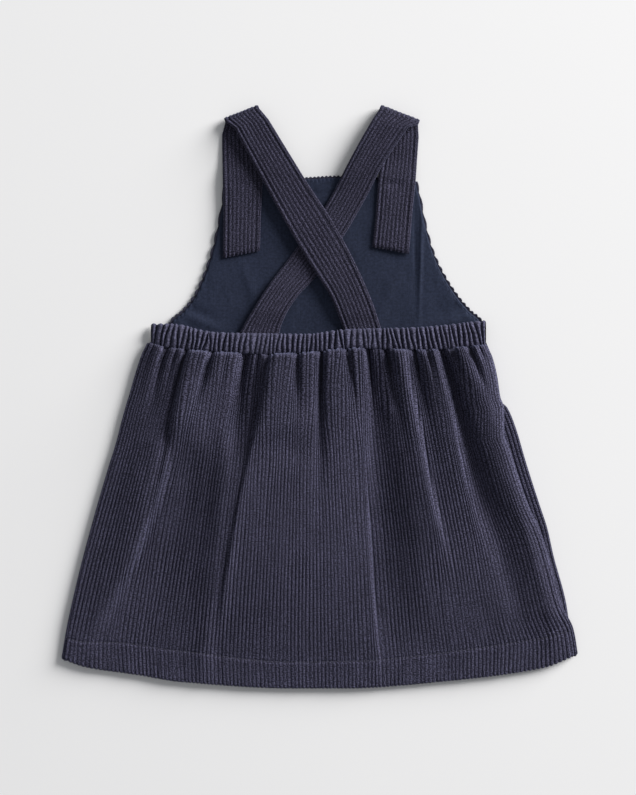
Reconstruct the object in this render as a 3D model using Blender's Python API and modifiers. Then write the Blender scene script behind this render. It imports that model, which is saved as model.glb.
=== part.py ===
"""A small child's pinafore dress in wide-wale corduroy, laid flat with its back uppermost.

The dress is a tube of cloth pressed flat: the front bib and the front skirt lie on the surface,
and the gathered back skirt, the elastic back waistband and the two crossed straps lie on them.
The skirt sits a little turned, so the back panel rolls under along the left side and the front
panel rolls over along the right side, where a strip of it shows beside the side seam.

Sizes are in millimetres in the tables and become metres when the meshes are made. +X is to the
right and +Y is towards the shoulders as the dress is seen from above, and +Z is up. The origin
is on the surface, under the middle of the dress.
"""

import math
from collections import namedtuple

import bmesh
import bpy
from mathutils import Vector

MM = 0.001
COLLECTION = "pinafore_dress"

# Cloth and layers
CORDUROY = 1.6
LINING = 1.0
STRAP_WALL = 2.6
CASING_DEPTH = 4.4
SEAM_GAP = 0.3
LINING_INSET = 1.2
LINING_FLOOR = CORDUROY + SEAM_GAP
STRAP_REST = LINING_FLOOR + LINING + SEAM_GAP + STRAP_WALL / 2

# Skirt
SIDE_ROLL = 1.9
SIDE_TURN_UNDER = 12.0
SKIRT_SIDE_TOP = 44.0
SKIRT_SIDE_FOOT = -221.0
FRONT_WAIST = 43.0
FRONT_LAYER = CORDUROY / 2
ROLL_TOP = FRONT_LAYER + 2 * SIDE_ROLL
LOWEST_BACK = CORDUROY + SEAM_GAP + CORDUROY / 2
BACK_RISE_WAIST = 8.0
BACK_RISE_HEM = 3.6
PUFF_RISE = 2.4
SIDE_EASE = 0.06

# Steps along and across the pieces
BACK_COLUMNS = 74
FRONT_COLUMNS = 12
SKIRT_ROWS = 13
ROLL_STEPS = 5
BIB_COLUMNS = 6
BIB_ROWS = 12
STRAP_COLUMNS = 2
STRAP_RUN_STEPS = 14
STRAP_FOLD_STEPS = 6
CASING_STATIONS = 40
CASING_CORNER = 0.62

Edge = namedtuple("Edge", "x y")
Side = namedtuple("Side", "y left right seam")
BibRow = namedtuple("BibRow", "y left right")
Fold = namedtuple("Fold", "waist middle hem waist_lift middle_lift hem_lift waist_width hem_width")
Layer = namedtuple("Layer", "x z")
Station = namedtuple("Station", "outer_x outer_y inner_x inner_y z")
Shoulder = namedtuple("Shoulder", "outer_x outer_y inner_x inner_y radius")
Paint = namedtuple("Paint", "colour roughness")

# The seam under the back waistband, the waistband's top edge and the hem, from left to right
WAIST_SEAM = (
    Edge(-147, 45.6),
    Edge(-125, 40.6),
    Edge(-88, 37.0),
    Edge(-44, 35.3),
    Edge(-10, 36.6),
    Edge(28, 40.2),
    Edge(82, 38.7),
    Edge(142, 43.0),
)
CASING_TOP = (
    Edge(-143, 62.5),
    Edge(-125, 62.1),
    Edge(-92, 55.3),
    Edge(-55, 54.0),
    Edge(-11, 53.6),
    Edge(19, 57.2),
    Edge(87, 59.4),
    Edge(141, 65.0),
)
HEM = (
    Edge(-220, -222.6),
    Edge(-198, -230.0),
    Edge(-158, -236.0),
    Edge(-117, -242.4),
    Edge(-25, -247.8),
    Edge(26, -247.8),
    Edge(107, -241.8),
    Edge(189, -230.8),
    Edge(220, -218.9),
)

# The skirt's two side edges, and the side seam on its right, by height on the side
SKIRT_SIDES = (
    Side(44, -146.5, 142.0, 138.6),
    Side(35, -151.0, 146.6, 143.2),
    Side(18, -156.8, 150.9, 147.5),
    Side(0, -162.0, 153.6, 150.2),
    Side(-8, -164.6, 159.8, 156.0),
    Side(-30, -170.6, 167.9, 157.0),
    Side(-58, -178.9, 176.0, 165.3),
    Side(-92, -189.1, 186.8, 176.5),
    Side(-135, -201.0, 198.5, 193.0),
    Side(-177, -211.2, 209.5, 205.0),
    Side(-200, -216.0, 216.3, 212.6),
    Side(-221, -219.6, 219.6, 216.2),
)

# The bib's sides, which flare out to the waist, and its top edge
BIB_SIDES = (
    BibRow(184, -80.5, 82.2),
    BibRow(170, -82.0, 85.4),
    BibRow(145, -86.3, 90.5),
    BibRow(124, -91.4, 96.5),
    BibRow(104, -98.2, 105.8),
    BibRow(84, -107.8, 119.0),
    BibRow(73, -117.0, 128.8),
    BibRow(63, -127.6, 138.8),
    BibRow(42, -130.0, 139.0),
)
BIB_TOP = (
    Edge(-80.5, 181.4),
    Edge(-13, 185.6),
    Edge(17, 187.0),
    Edge(82.2, 182.8),
)

# The long folds of the back skirt, placed by fraction of its width; a negative lift is a valley
SKIRT_FOLDS = (
    Fold(0.103, 0.118, 0.100, -3.2, -1.2, 0.0, 0.018, 0.020),
    Fold(0.192, 0.170, 0.160, -3.0, -0.4, 0.0, 0.014, 0.020),
    Fold(0.322, 0.318, 0.300, -4.2, -2.6, -0.6, 0.034, 0.030),
    Fold(0.451, 0.440, 0.430, -2.6, -0.2, 0.0, 0.010, 0.020),
    Fold(0.509, 0.524, 0.530, -3.4, -0.3, 0.0, 0.012, 0.020),
    Fold(0.651, 0.650, 0.625, -3.6, -1.4, -0.4, 0.018, 0.024),
    Fold(0.766, 0.800, 0.815, -3.2, -1.0, 0.0, 0.016, 0.024),
    Fold(0.860, 0.890, 0.900, -4.0, -2.4, -0.2, 0.018, 0.026),
    Fold(0.090, 0.095, 0.075, 0.4, 1.6, 0.8, 0.030, 0.026),
    Fold(0.290, 0.285, 0.262, 0.0, 1.0, 1.2, 0.020, 0.026),
    Fold(0.600, 0.600, 0.590, 1.0, 1.4, 0.9, 0.040, 0.032),
    Fold(0.820, 0.830, 0.850, 0.8, 1.8, 0.8, 0.030, 0.040),
    Fold(0.960, 0.965, 0.968, 0.6, 2.6, 1.0, 0.022, 0.016),
)

# How high the middle of the waistband's casing lies along its length
CASING_LAYERS = (
    Layer(-143, 2.8),
    Layer(-130, 5.7),
    Layer(-85, 7.4),
    Layer(-70, 8.4),
    Layer(60, 8.4),
    Layer(90, 7.0),
    Layer(125, 5.6),
    Layer(141, 5.5),
)

# Each strap's two edges: up the front run from its loose end, and down the back run
LEFT_FRONT_RUN = (
    Station(-79.6, 118.6, -50.6, 125.0, STRAP_REST),
    Station(-81.6, 154.3, -49.7, 154.3, STRAP_REST),
    Station(-82.0, 181.0, -49.7, 183.0, STRAP_REST),
    Station(-82.5, 203.0, -49.8, 207.8, 2.2),
    Station(-82.8, 224.0, -50.8, 231.0, 1.5),
)
LEFT_BACK_RUN = (
    Station(-74.6, 231.6, -45.2, 238.0, 7.0),
    Station(-52.3, 190.0, -25.5, 205.6, 7.9),
    Station(-34.8, 158.0, -8.0, 177.4, 8.2),
    Station(-18.3, 128.8, 9.0, 151.6, 8.3),
    Station(-1.0, 101.0, 26.2, 121.0, 8.4),
    Station(9.2, 84.8, 38.0, 96.0, 7.8),
    Station(15.6, 69.4, 45.8, 77.0, 6.0),
    Station(19.2, 60.0, 50.8, 62.0, 4.6),
    Station(22.0, 50.4, 54.2, 51.6, STRAP_REST),
)
RIGHT_FRONT_RUN = (
    Station(76.1, 121.6, 44.8, 127.6, STRAP_REST),
    Station(78.6, 154.3, 47.6, 154.3, STRAP_REST),
    Station(81.4, 181.0, 51.4, 182.0, STRAP_REST),
    Station(83.0, 203.0, 53.1, 206.0, 2.2),
    Station(84.4, 222.0, 54.0, 230.0, 1.5),
)
RIGHT_BACK_RUN = (
    Station(76.6, 229.6, 46.6, 237.6, 8.0),
    Station(64.0, 212.0, 33.0, 214.0, 7.8),
    Station(53.0, 195.0, 23.0, 195.4, 7.4),
    Station(38.7, 167.3, 11.0, 172.0, 5.3),
    Station(20.4, 135.6, -4.0, 148.0, 4.8),
    Station(-3.8, 100.7, -24.0, 119.8, 4.8),
    Station(-18.3, 85.0, -42.0, 96.0, 5.4),
    Station(-28.5, 69.2, -55.0, 76.0, 5.0),
    Station(-33.0, 58.0, -65.0, 59.0, STRAP_REST),
    Station(-35.0, 47.0, -70.0, 48.4, STRAP_REST),
)
# The fold over the shoulder: its outermost line, and the radius of the turn
LEFT_SHOULDER = Shoulder(-81.4, 236.6, -52.4, 247.8, 2.7)
RIGHT_SHOULDER = Shoulder(83.6, 236.0, 54.0, 247.8, 3.2)

PAINTS = {
    "bib_front": Paint((0.034, 0.033, 0.053), 0.88),
    "bib_lining": Paint((0.026, 0.033, 0.056), 0.75),
    "skirt_front": Paint((0.034, 0.033, 0.053), 0.88),
    "skirt_back": Paint((0.036, 0.035, 0.056), 0.88),
    "strap_left": Paint((0.040, 0.039, 0.060), 0.85),
    "strap_right": Paint((0.038, 0.037, 0.058), 0.85),
    "waistband_back": Paint((0.042, 0.041, 0.064), 0.85),
}


def mix(low, high, part):
    """The value a fraction of the way from low to high."""
    return low + (high - low) * part


def slopes_of(keys, values):
    """Slopes at a table's rows that keep its curve from overshooting them."""
    steps = [(values[i + 1] - values[i]) / (keys[i + 1] - keys[i]) for i in range(len(keys) - 1)]
    slopes = [steps[0]]
    for before, after in zip(steps, steps[1:]):
        slopes.append(2 * before * after / (before + after) if before * after > 0 else 0.0)
    slopes.append(steps[-1])
    return slopes


def read(rows, key, column, at):
    """A table's column at a value of its key column, on a smooth curve through the rows."""
    ordered = sorted(rows, key=lambda row: getattr(row, key))
    keys = [getattr(row, key) for row in ordered]
    values = [getattr(row, column) for row in ordered]
    at = min(max(at, keys[0]), keys[-1])
    slopes = slopes_of(keys, values)
    i = 0
    while i < len(keys) - 2 and at > keys[i + 1]:
        i += 1
    span = keys[i + 1] - keys[i]
    s = (at - keys[i]) / span
    start = (1 + 2 * s) * (1 - s) ** 2 * values[i] + s * (1 - s) ** 2 * span * slopes[i]
    end = s * s * (3 - 2 * s) * values[i + 1] + s * s * (s - 1) * span * slopes[i + 1]
    return start + end


def read_run(rows, at):
    """The strap station a fraction of the way along a run, on smooth curves through its rows."""
    numbered = [dict(row._asdict(), step=i / (len(rows) - 1)) for i, row in enumerate(rows)]
    numbered = [namedtuple("Numbered", row.keys())(**row) for row in numbered]
    return Station(*(read(numbered, "step", column, at) for column in Station._fields))


def smooth_step(low, high, at):
    """0 below low, 1 above high, and a smooth rise between them."""
    s = min(max((at - low) / (high - low), 0.0), 1.0)
    return s * s * (3 - 2 * s)


def make_material(name):
    """The named piece's own cloth, as a plain Principled material."""
    paint = PAINTS[name]
    material = bpy.data.materials.new(f"{name}_cloth")
    material.use_nodes = True
    shader = material.node_tree.nodes["Principled BSDF"]
    shader.inputs["Base Color"].default_value = (*paint.colour, 1.0)
    shader.inputs["Roughness"].default_value = paint.roughness
    shader.inputs["Metallic"].default_value = 0.0
    return material


def link(name, mesh):
    """Put a mesh into the dress's collection as a named object, smooth but for its sharp edges."""
    node = bpy.data.objects.new(name, mesh)
    mesh.materials.append(make_material(name))
    mesh.shade_smooth()
    mesh.set_sharp_from_angle(angle=math.radians(50))
    bpy.data.collections[COLLECTION].objects.link(node)
    return node


def add_wall(name, grid, wall):
    """A cloth wall of even thickness with its middle on a grid of points."""
    mesh = bpy.data.meshes.new(name)
    build = bmesh.new()
    rows = [[build.verts.new(point * MM) for point in row] for row in grid]
    for upper, lower in zip(rows, rows[1:]):
        for i in range(len(upper) - 1):
            build.faces.new((upper[i], lower[i], lower[i + 1], upper[i + 1]))
    build.to_mesh(mesh)
    build.free()
    node = link(name, mesh)
    shell = node.modifiers.new("wall", "SOLIDIFY")
    shell.thickness = wall * MM
    shell.offset = 0.0
    shell.use_even_offset = True
    return node


def add_loft(name, rings):
    """A closed body through rings of points, with a flat cap on each end."""
    mesh = bpy.data.meshes.new(name)
    build = bmesh.new()
    loops = [[build.verts.new(point * MM) for point in ring] for ring in rings]
    count = len(loops[0])
    for near, far in zip(loops, loops[1:]):
        for i in range(count):
            build.faces.new((near[i], near[(i + 1) % count], far[(i + 1) % count], far[i]))
    build.faces.new(loops[0][::-1])
    build.faces.new(loops[-1])
    bmesh.ops.recalc_face_normals(build, faces=build.faces)
    build.to_mesh(mesh)
    build.free()
    return link(name, mesh)


def skirt_side(column, down):
    """Where a side line of the skirt lies, a fraction of the way from the waist to the hem."""
    return read(SKIRT_SIDES, "y", column, mix(SKIRT_SIDE_TOP, SKIRT_SIDE_FOOT, down))


def skirt_height(across, down):
    """Height of the middle of the back skirt's cloth, by fractions across and down it."""
    ease = smooth_step(0.0, SIDE_EASE, across) * smooth_step(0.0, SIDE_EASE, 1.0 - across)
    rise = mix(BACK_RISE_WAIST, BACK_RISE_HEM, smooth_step(0.0, 0.85, down))
    height = mix(ROLL_TOP, rise, ease)
    height += ease * PUFF_RISE * smooth_step(0.005, 0.06, down) * (1 - smooth_step(0.06, 0.5, down))
    started = 0.35 + 0.65 * smooth_step(0.0, 0.07, down)
    for fold in SKIRT_FOLDS:
        upper = down < 0.5
        part = smooth_step(0.0, 0.5, down) if upper else smooth_step(0.5, 1.0, down)
        middle = mix(fold.waist, fold.middle, part) if upper else mix(fold.middle, fold.hem, part)
        width = mix(fold.waist_width, fold.hem_width, down)
        if upper:
            lift = mix(fold.waist_lift, fold.middle_lift, part)
        else:
            lift = mix(fold.middle_lift, fold.hem_lift, part)
        height += ease * started * lift * math.exp(-(((across - middle) / width) ** 2))
    return max(height, LOWEST_BACK)


def skirt_point(x, z, down, waist=None):
    """A point of the skirt where one of its rows crosses x; its waist is straight if given."""
    left = skirt_side("left", down)
    part = (x - left) / (skirt_side("right", down) - left)
    at_waist = mix(skirt_side("left", 0.0), skirt_side("right", 0.0), part)
    at_hem = mix(skirt_side("left", 1.0), skirt_side("right", 1.0), part)
    top = read(WAIST_SEAM, "x", "y", at_waist) if waist is None else waist
    return Vector((x, mix(top, read(HEM, "x", "y", at_hem), down), z))


def roll(middle, towards, down, waist=None):
    """Points round a side roll, from its lowest to its highest, towards -1 left or 1 right."""
    centre = FRONT_LAYER + SIDE_ROLL
    points = []
    for i in range(ROLL_STEPS + 1):
        turn = math.pi * i / ROLL_STEPS - math.pi / 2
        x = middle + towards * SIDE_ROLL * math.cos(turn)
        points.append(skirt_point(x, centre + SIDE_ROLL * math.sin(turn), down, waist))
    return points


def back_skirt_row(down):
    """The back skirt's section: under the left side, round its roll and over to the side seam."""
    outside = SIDE_ROLL + CORDUROY / 2
    left = skirt_side("left", down) + outside
    seam = skirt_side("seam", down)
    row = [skirt_point(left + SIDE_TURN_UNDER, FRONT_LAYER, down, FRONT_WAIST)]
    row += roll(left, -1, down)
    for i in range(1, BACK_COLUMNS + 1):
        across = i / BACK_COLUMNS
        row.append(skirt_point(mix(left, seam, across), skirt_height(across, down), down))
    return row


def front_skirt_row(down):
    """The front skirt's section: along the surface, round the right roll and back to the seam."""
    outside = SIDE_ROLL + CORDUROY / 2
    left = skirt_side("left", down) + outside + SIDE_TURN_UNDER + SEAM_GAP
    right = skirt_side("right", down) - outside
    seam = skirt_side("seam", down) + SEAM_GAP
    row = []
    for i in range(FRONT_COLUMNS):
        x = mix(left, right, i / FRONT_COLUMNS)
        row.append(skirt_point(x, FRONT_LAYER, down, FRONT_WAIST))
    row += roll(right, 1, down, FRONT_WAIST)
    row.append(skirt_point(seam, ROLL_TOP, down, FRONT_WAIST))
    return row


def bib_point(across, down, inset, z):
    """A point of the bib by fractions across and down it, with its free edges drawn in."""
    rows = (BIB_SIDES[0].y, BIB_SIDES[-1].y)
    side_y = mix(*rows, down)
    left = read(BIB_SIDES, "y", "left", side_y) + inset
    right = read(BIB_SIDES, "y", "right", side_y) - inset
    at_top = mix(BIB_SIDES[0].left, BIB_SIDES[0].right, across)
    top = read(BIB_TOP, "x", "y", at_top) - inset
    foot = FRONT_WAIST + SEAM_GAP
    return Vector((mix(left, right, across), mix(top, foot, down), z))


def bib_grid(inset, z):
    """The bib's points, in rows from its top edge down to the waist."""
    return [
        [bib_point(i / BIB_COLUMNS, j / BIB_ROWS, inset, z) for i in range(BIB_COLUMNS + 1)]
        for j in range(BIB_ROWS + 1)
    ]


def strap_row(edges, z):
    """Points across a strap between its two edges at one station."""
    outer = Vector((edges.outer_x, edges.outer_y, z))
    inner = Vector((edges.inner_x, edges.inner_y, z))
    return [outer.lerp(inner, i / STRAP_COLUMNS) for i in range(STRAP_COLUMNS + 1)]


def run_rows(stations):
    """Points across a strap at even steps along one of its runs."""
    read_at = [read_run(stations, i / STRAP_RUN_STEPS) for i in range(STRAP_RUN_STEPS + 1)]
    return [strap_row(station, station.z) for station in read_at]


def shoulder_rows(shoulder, floor):
    """Points across a strap round its fold, from the front run over to the back run."""
    across = Vector((shoulder.outer_x - shoulder.inner_x, shoulder.outer_y - shoulder.inner_y, 0))
    outward = Vector((abs(across.y) * math.copysign(1, across.x), abs(across.x), 0)).normalized()
    rows = []
    for i in range(STRAP_FOLD_STEPS + 1):
        turn = math.pi * i / STRAP_FOLD_STEPS - math.pi / 2
        shift = outward * (shoulder.radius * (math.cos(turn) - 1) - STRAP_WALL / 2)
        z = floor + shoulder.radius * (1 + math.sin(turn))
        rows.append([point + shift for point in strap_row(shoulder, z)])
    return rows


def strap_grid(front_run, shoulder, back_run):
    """A strap's points: up its front run, over the shoulder and down its back run."""
    fold = shoulder_rows(shoulder, front_run[-1].z)
    return run_rows(front_run) + fold + run_rows(back_run)


def casing_rings():
    """Sections of the elastic waistband's casing, a flattened round, from left to right."""
    ends = (CASING_TOP[0].x, CASING_TOP[-1].x)
    rings = []
    for i in range(CASING_STATIONS + 1):
        x = mix(*ends, i / CASING_STATIONS)
        low = read(WAIST_SEAM, "x", "y", x) + SEAM_GAP
        high = read(CASING_TOP, "x", "y", x)
        middle = Vector((x, (low + high) / 2, read(CASING_LAYERS, "x", "z", x)))
        half = Vector((0, (high - low) / 2, CASING_DEPTH / 2))
        corners = ((1, 0), (CASING_CORNER, 1), (-CASING_CORNER, 1), (-1, 0))
        upper = [middle + Vector((0, half.y * a, half.z * b)) for a, b in corners]
        lower = [middle + Vector((0, -half.y * a, -half.z * b)) for a, b in corners[1:3]]
        rings.append(upper + lower)
    return rings


def main():
    for old in list(bpy.data.objects):
        bpy.data.objects.remove(old)
    bpy.context.scene.collection.children.link(bpy.data.collections.new(COLLECTION))

    front_rows = [front_skirt_row(j / SKIRT_ROWS) for j in range(SKIRT_ROWS + 1)]
    back_rows = [back_skirt_row(j / SKIRT_ROWS) for j in range(SKIRT_ROWS + 1)]
    left_strap = strap_grid(LEFT_FRONT_RUN, LEFT_SHOULDER, LEFT_BACK_RUN)
    right_strap = strap_grid(RIGHT_FRONT_RUN, RIGHT_SHOULDER, RIGHT_BACK_RUN)

    add_wall("bib_front", bib_grid(0.0, FRONT_LAYER), CORDUROY)
    add_wall("bib_lining", bib_grid(LINING_INSET, LINING_FLOOR + LINING / 2), LINING)
    add_wall("skirt_front", front_rows, CORDUROY)
    add_wall("skirt_back", back_rows, CORDUROY)
    add_wall("strap_left", left_strap, STRAP_WALL)
    add_wall("strap_right", right_strap, STRAP_WALL)
    add_loft("waistband_back", casing_rings())


main()
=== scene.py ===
"""The looks of a small child's pinafore dress in wide-wale corduroy, laid flat with its back up.

The tables give the cut in millimetres on the dress's own pattern: +X to the right and +Y towards
the shoulders as it is seen from above, +Z up, with the origin on the surface under its middle.
place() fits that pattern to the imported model's box, so every position follows the frame.
"""

import math
from collections import namedtuple

import bpy
import numpy as np
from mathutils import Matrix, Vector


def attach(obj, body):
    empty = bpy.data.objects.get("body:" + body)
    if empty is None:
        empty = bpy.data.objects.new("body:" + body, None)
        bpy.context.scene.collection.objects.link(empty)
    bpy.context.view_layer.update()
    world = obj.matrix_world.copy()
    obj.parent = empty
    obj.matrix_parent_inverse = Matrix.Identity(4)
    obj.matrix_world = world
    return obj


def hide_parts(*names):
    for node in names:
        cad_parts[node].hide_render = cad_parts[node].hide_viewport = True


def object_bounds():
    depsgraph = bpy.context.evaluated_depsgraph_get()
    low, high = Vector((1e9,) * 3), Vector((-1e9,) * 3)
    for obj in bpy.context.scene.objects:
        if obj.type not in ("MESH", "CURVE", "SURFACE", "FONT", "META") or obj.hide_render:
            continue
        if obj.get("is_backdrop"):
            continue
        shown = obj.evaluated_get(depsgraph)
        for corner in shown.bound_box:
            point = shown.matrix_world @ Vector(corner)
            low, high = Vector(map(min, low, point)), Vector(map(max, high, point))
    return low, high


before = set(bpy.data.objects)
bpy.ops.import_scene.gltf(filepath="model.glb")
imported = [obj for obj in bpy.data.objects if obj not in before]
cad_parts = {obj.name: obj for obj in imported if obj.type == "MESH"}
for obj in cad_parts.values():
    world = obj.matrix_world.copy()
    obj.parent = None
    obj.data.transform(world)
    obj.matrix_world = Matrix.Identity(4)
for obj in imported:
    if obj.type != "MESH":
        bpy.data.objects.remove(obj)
CAD_LOW, CAD_HIGH = (np.array(corner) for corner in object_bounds())

# The pattern's width fixes its scale in the frame
PATTERN_WIDTH = 439.0
UNIT = (CAD_HIGH[0] - CAD_LOW[0]) / PATTERN_WIDTH
MIDDLE = np.array([(CAD_LOW[0] + CAD_HIGH[0]) / 2, (CAD_LOW[1] + CAD_HIGH[1]) / 2, CAD_LOW[2]])

# Sizes are in millimetres; shares of the skirt's width or length run from 0 to 1

# Cloth
WALE = 3.34
WALE_STEPS = (0.0, 0.13, 0.38, 0.62, 0.87)
WALE_DEPTH = 0.80
FINE_RELIEF = 0.85 * WALE_DEPTH
CORDUROY = 1.6
LINING = 1.0
LINING_TOP = 2.9
FLOOR = 0.05
SEAM_GAP = 0.3
# A skirt panel's inner side keeps every third row and fifth column of its outer side
PANEL_STEPS = (3, 5)

# The skirt's cut: wales across it, how its sides turn, and where its waist and sides end
SKIRT_WALES = 130
UNDER_WALES = 6
CURL_WALES = 3
SIDE_ROLL = 2.3
TURN_UNDER = 12.0
EDGE_CURL = 5.5
FRONT_WAIST = 43.0
SKIRT_SIDE_TOP = 44.0
SKIRT_SIDE_FOOT = -221.0

# Folds: their gain over the tables, where a soft limit starts and how far it lets them go, and
# the shares of the width over which they die out at the sides
FOLD_GAIN = 1.8
FOLD_SOFT = 16.0
FOLD_SPAN = 5.0
LOWEST_FOLD = 4.9
LOWEST_CLOTH = 3.9
FREE_LEFT = 0.03
FREE_RIGHT = 0.015

# Gathers, the puffs between them, how both arch up from the seam, and the front's weaker pleats;
# PUFF_REACH, PUFF_WIDTH and PLEAT_REACH are shares of the skirt
GATHER_GAIN = 1.75
GATHER_SPREAD = 0.7
FADE_POWER = 1.6
VALLEY_POWER = 1.2
MAIN_GATHER = 2.5
PUFF_RISE = 2.4
PUFF_REACH = 0.11
PUFF_POWER = 3.2
PUFF_WIDTH = 0.045
GATHER_ARCH = 10.0
PUFF_ARCH = 2.4
ARCH_START = 0.8
SEAM_DROP = 2.0
LOWEST_SEAM = 3.4
SEAM_LAP = 1.6
SEAM_REACH = 6.0
FRONT_PLEAT = 0.12
PLEAT_REACH = 0.12
PLEAT_WIDTH = 1.5

# How the wales crowd in gathers and on slopes, wander, and stand on flats, slopes and the fold
FAN_LEVELS = (0.0, 0.13, 0.30, 0.52, 0.76, 1.0)
GATHER_PULL = 1.5
PULL_REACH = 0.5
STEEP_PULL = 1.8
MOST_PULL = 0.9
LOCAL_PULL = 120
LEAST_SHARE = 0.4
WANDER = 0.35
FLAT_STAND = 0.70
SLOPE_STAND = 1.5
MOST_STAND = 1.7
MOST_TILT = 1.2
HEM_STAND = 0.3

# The hem: its fold, its step above the single cloth, its sunken seams and its stitches
HEM_ROLL = 1.5
HEM_TURN = math.radians(150)
HEM_WALL = 0.75 * HEM_ROLL
HEM_LAYER = 4.2
HEM_START = 0.86
HEM_SETTLE = 0.75
HEM_STEP = 0.8
HEM_SEAM = -137.0
HEM_STRAIGHT = 0.22
HEM_RIPPLE = 0.25
RIPPLE_LENGTH = 9.0
SUNKEN = 0.6
STITCH_LINE = 0.9
STITCH = 2.7
STITCH_GAP = 0.7
STITCH_RADIUS = 0.3

# The bib's cut edges and its lining's unevenness
BIB_INSET = 0.6
BIB_SCALLOP = 1.6
BIB_CURL = 0.5
LINING_INSET = 1.9
LINING_SCALLOP = 0.7
LINING_WAVES = 0.22
LINING_CREASES = 0.10
DIMPLE = 0.55
EDGE_DROP = 0.6

# Straps: their section, the groove beside each edge, their sag and their cut ends
STRAP_WALES = 20
STRAP_THICKNESS = 2.6
STRAP_RELIEF = 0.75 * WALE_DEPTH
STRAP_EDGE = 3.6
STRAP_LINE = 0.6
END_LINE = 0.3
END_PINCH = 0.35
STRAP_SAG = 0.25
PUCKER_WIDTH = 9.0
END_SCALLOP = 1.1
END_REACH = 1.6

# The waistband's ribs and section
RIB = 4.2
RIB_PITCHES = (0.74, 1.30)
RIB_DEPTHS = (0.7, 1.15)
RIB_LEAN = 0.8
OUTWARD_LEAN = 2.6
RIB_STEPS = 9
RIB_DEPTH = 3.0
QUIETER = 0.45
CASING_HALF = 2.9
CASING_SIDES = 32
CASING_AROUND = 48.0

Knot = namedtuple("Knot", "x value")
Side = namedtuple("Side", "y left right edge roll lip height")
BibRow = namedtuple("BibRow", "y left right")
Gather = namedtuple("Gather", "across lean width depth reach crowd")
Station = namedtuple("Station", "outer_x outer_y inner_x inner_y z")
Shoulder = namedtuple("Shoulder", "outer_x outer_y inner_x inner_y radius")
Spot = namedtuple("Spot", "x y wide long turn lift")
Pucker = namedtuple("Pucker", "across along reach depth")


def rows_of(kind, *rows):
    """A table's rows, with their numbers named."""
    return tuple(kind(*row) for row in rows)


# The waistband's lower and upper edges, and the edge of the hem
WAIST_SEAM = rows_of(
    Knot,
    (-147, 45.6), (-125, 40.6), (-88, 37.0), (-44, 35.3), (-10, 36.6), (28, 40.2), (82, 38.7),
    (142, 43.0),
)
CASING_TOP = rows_of(
    Knot,
    (-143, 62.5), (-125, 62.1), (-92, 55.3), (-55, 54.0), (-11, 53.6), (19, 57.2), (87, 59.4),
    (141, 65.0),
)
HEM = rows_of(
    Knot,
    (-220, -222.6), (-198, -230.0), (-158, -236.0), (-117, -242.4), (-25, -247.8), (26, -247.8),
    (107, -241.8), (189, -230.8), (220, -218.9),
)
# How deep the hem is sewn, along the hem
HEM_DEPTH = rows_of(
    Knot,
    (-217, 19.0), (-159, 26.0), (-110, 26.4), (-77, 24.6), (-33, 22.7), (54, 23.7), (105, 24.6),
    (173, 26.5), (216, 23.7),
)

# By height on the side: the lines that the skirt fans between, where the back panel's right edge
# ends, how far out the front's right roll reaches, and how high the back's lip and that roll lie
SKIRT_SIDES = rows_of(
    Side,
    (44, -146.5, 142.0, 142.0, 138.8, 2.6, 3.6),
    (35, -151.0, 146.2, 146.6, 143.4, 2.4, 3.6),
    (18, -156.8, 151.6, 150.9, 147.6, 2.2, 3.6),
    (0, -162.0, 157.0, 153.6, 151.0, 3.4, 4.2),
    (-8, -164.6, 159.6, 156.6, 159.0, 4.4, 3.9),
    (-30, -170.6, 166.6, 156.8, 167.9, 4.5, 3.8),
    (-40, -173.2, 169.7, 160.6, 170.8, 4.5, 3.8),
    (-58, -178.9, 175.2, 166.2, 176.0, 4.5, 3.8),
    (-92, -189.1, 186.0, 178.0, 186.8, 4.5, 3.8),
    (-113, -195.0, 192.4, 187.4, 193.6, 4.5, 3.8),
    (-135, -201.0, 198.5, 194.4, 198.5, 4.5, 3.8),
    (-177, -211.2, 209.3, 206.0, 209.5, 4.3, 3.6),
    (-200, -216.0, 215.2, 216.0, 213.0, 2.2, 3.4),
    (-221, -219.6, 219.6, 219.6, 216.4, 2.0, 3.2),
)
# The bib's outline
BIB_SIDES = rows_of(
    BibRow,
    (184, -80.5, 82.2), (170, -82.0, 85.4), (145, -86.3, 90.5), (124, -91.4, 96.5),
    (104, -98.2, 105.8), (84, -107.8, 119.0), (73, -117.0, 128.8), (63, -127.6, 138.8),
    (42, -130.0, 139.0),
)
BIB_TOP = rows_of(
    Knot,
    (-80.5, 181.4), (-13, 185.6), (17, 187.0), (82.2, 182.8),
)

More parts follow.
